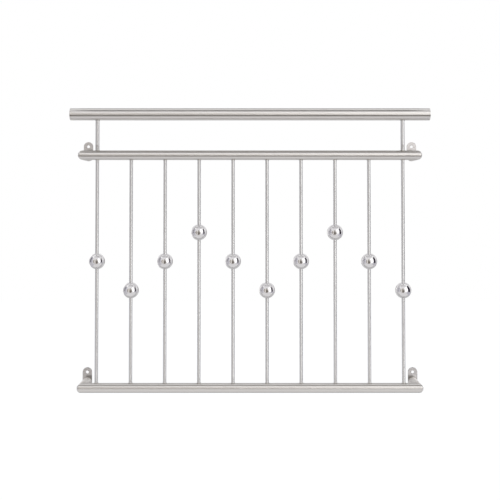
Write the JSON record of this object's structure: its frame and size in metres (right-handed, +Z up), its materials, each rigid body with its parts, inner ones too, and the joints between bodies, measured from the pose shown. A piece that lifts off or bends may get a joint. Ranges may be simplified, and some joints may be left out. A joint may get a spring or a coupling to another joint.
{
  "type": "juliet balcony railing",
  "caption": "Wall-mounted juliet balcony railing of stainless tube: round handrail, cross rails returned to wall tabs, slim upright bars with staggered polished balls.",
  "frame": {"origin": "On the wall face of the lower left wall plate, where the axis of the lower left arm meets the wall", "axes": "+X along the wall to the right as seen from outside, +Y out of the back faces into the wall, +Z up"},
  "size_m": [1.276, 0.128, 1.0011],
  "materials": {
    "brushed_tube": "satin ground stainless steel",
    "end_cap": "satin ground stainless steel",
    "wall_plate": "satin stainless steel plate",
    "infill_bar": "satin stainless steel tube",
    "polished_ball": "mirror polished stainless steel"
  },
  "bodies": {
    "root": {"handrail_tube": "brushed_tube", "upper_rail": "brushed_tube", "lower_rail": "brushed_tube", "upper_left_arm": "brushed_tube", "upper_right_arm": "brushed_tube", "lower_left_arm": "brushed_tube", "lower_right_arm": "brushed_tube", "handrail_cap_left": "end_cap", "handrail_cap_right": "end_cap", "upper_left_wall_plate": "wall_plate", "upper_right_wall_plate": "wall_plate", "lower_left_wall_plate": "wall_plate", "lower_right_wall_plate": "wall_plate", "handrail_post_left": "infill_bar", "handrail_post_right": "infill_bar", "bar_01": "infill_bar", "bar_02": "infill_bar", "bar_03": "infill_bar", "bar_04": "infill_bar", "bar_05": "infill_bar", "bar_06": "infill_bar", "bar_07": "infill_bar", "bar_08": "infill_bar", "bar_09": "infill_bar", "bar_10": "infill_bar", "ball_01": "polished_ball", "ball_02": "polished_ball", "ball_03": "polished_ball", "ball_04": "polished_ball", "ball_05": "polished_ball", "ball_06": "polished_ball", "ball_07": "polished_ball", "ball_08": "polished_ball", "ball_09": "polished_ball", "ball_10": "polished_ball"}
  },
  "joints": []
}
